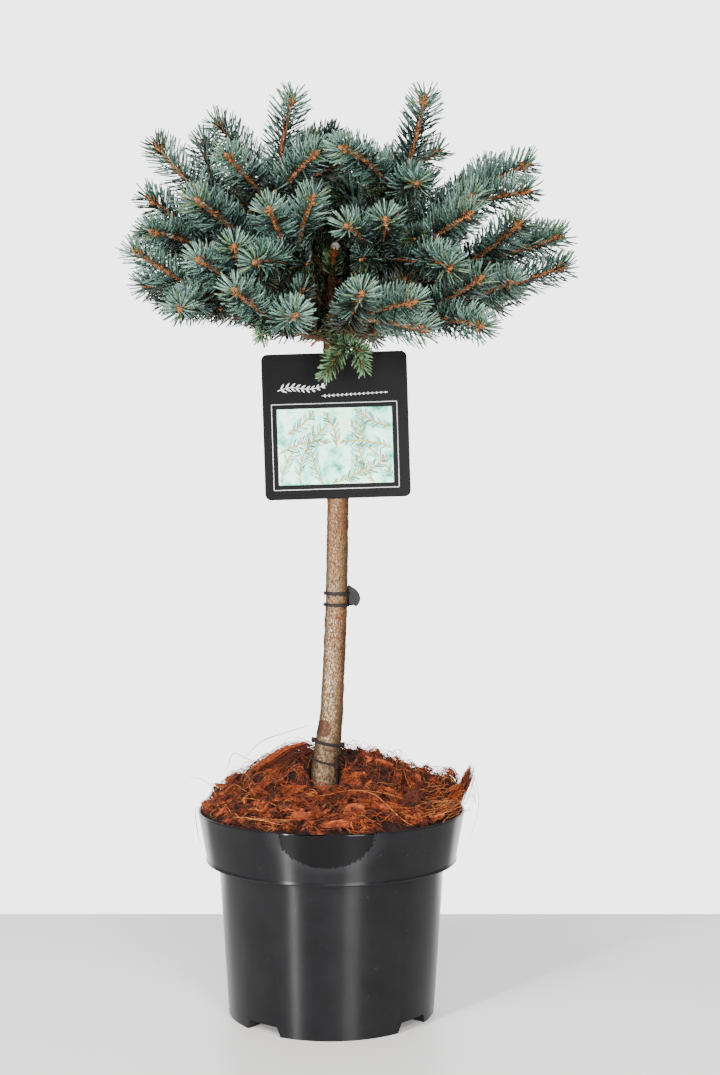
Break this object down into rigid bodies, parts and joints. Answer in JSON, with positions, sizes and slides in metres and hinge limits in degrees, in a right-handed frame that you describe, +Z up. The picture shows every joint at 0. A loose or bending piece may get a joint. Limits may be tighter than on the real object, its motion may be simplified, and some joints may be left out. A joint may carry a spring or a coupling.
{
  "type": "potted conifer standard",
  "caption": "Blue spruce standard: a round, open crown of blue-grey needled shoots on a bare slender stem, in a black nursery pot topped with coir chips, with a blank square plant label.",
  "frame": {"origin": "middle of the flat underside of the pot", "axes": "+Z up along the stem, +X to the viewer's right, +Y away from the viewer; the label faces -Y"},
  "size_m": [0.3511, 0.3585, 0.7469],
  "materials": {
    "blue_needles": "waxy blue-grey needles",
    "green_needles": "plain green needles",
    "bough_bark": "rough orange-brown twig bark",
    "trunk_bark": "speckled grey-brown bark",
    "pot_plastic": "glossy black moulded plastic",
    "growing_medium": "dark moist peat and bark",
    "coir_mulch": "brick-orange coir chips and fibres",
    "tie_rubber": "matt black",
    "label_card": "satin black sheet"
  },
  "bodies": {
    "root": {"bough_back_low_1": "bough_bark", "bough_back_low_2": "bough_bark", "bough_back_low_3": "bough_bark", "bough_back_low_4": "bough_bark", "bough_back_mid_1": "bough_bark", "bough_back_mid_2": "bough_bark", "bough_back_mid_3": "bough_bark", "bough_front_left": "bough_bark", "bough_front_low": "bough_bark", "bough_front_right": "bough_bark", "bough_left_back_high": "bough_bark", "bough_left_front": "bough_bark", "bough_left_front_high": "bough_bark", "bough_left_front_low": "bough_bark", "bough_left_front_mid": "bough_bark", "bough_left_high": "bough_bark", "bough_left_low": "bough_bark", "bough_left_mid": "bough_bark", "bough_right": "bough_bark", "bough_right_back_high": "bough_bark", "bough_right_front": "bough_bark", "bough_right_front_low": "bough_bark", "bough_right_high": "bough_bark", "bough_right_low": "bough_bark", "bough_right_upright": "bough_bark", "label": "label_card", "lower_tie": "tie_rubber", "mass_back_low_1": "blue_needles", "mass_back_low_2": "blue_needles", "mass_back_low_3": "blue_needles", "mass_back_low_4": "blue_needles", "mass_back_mid_1": "blue_needles", "mass_back_mid_2": "blue_needles", "mass_back_mid_3": "blue_needles", "mass_front_left": "blue_needles", "mass_front_low": "blue_needles", "mass_front_right": "blue_needles", "mass_hanging_sprigs": "green_needles", "mass_left_back_high": "blue_needles", "mass_left_front": "blue_needles", "mass_left_front_high": "blue_needles", "mass_left_front_low": "blue_needles", "mass_left_front_mid": "blue_needles", "mass_left_high": "blue_needles", "mass_left_low": "blue_needles", "mass_left_mid": "blue_needles", "mass_right": "blue_needles", "mass_right_back_high": "blue_needles", "mass_right_front": "blue_needles", "mass_right_front_low": "blue_needles", "mass_right_high": "blue_needles", "mass_right_low": "blue_needles", "mass_right_upright": "blue_needles", "mulch": "coir_mulch", "pot": "pot_plastic", "root_ball": "growing_medium", "trunk": "trunk_bark", "upper_tie": "tie_rubber"}
  },
  "joints": []
}
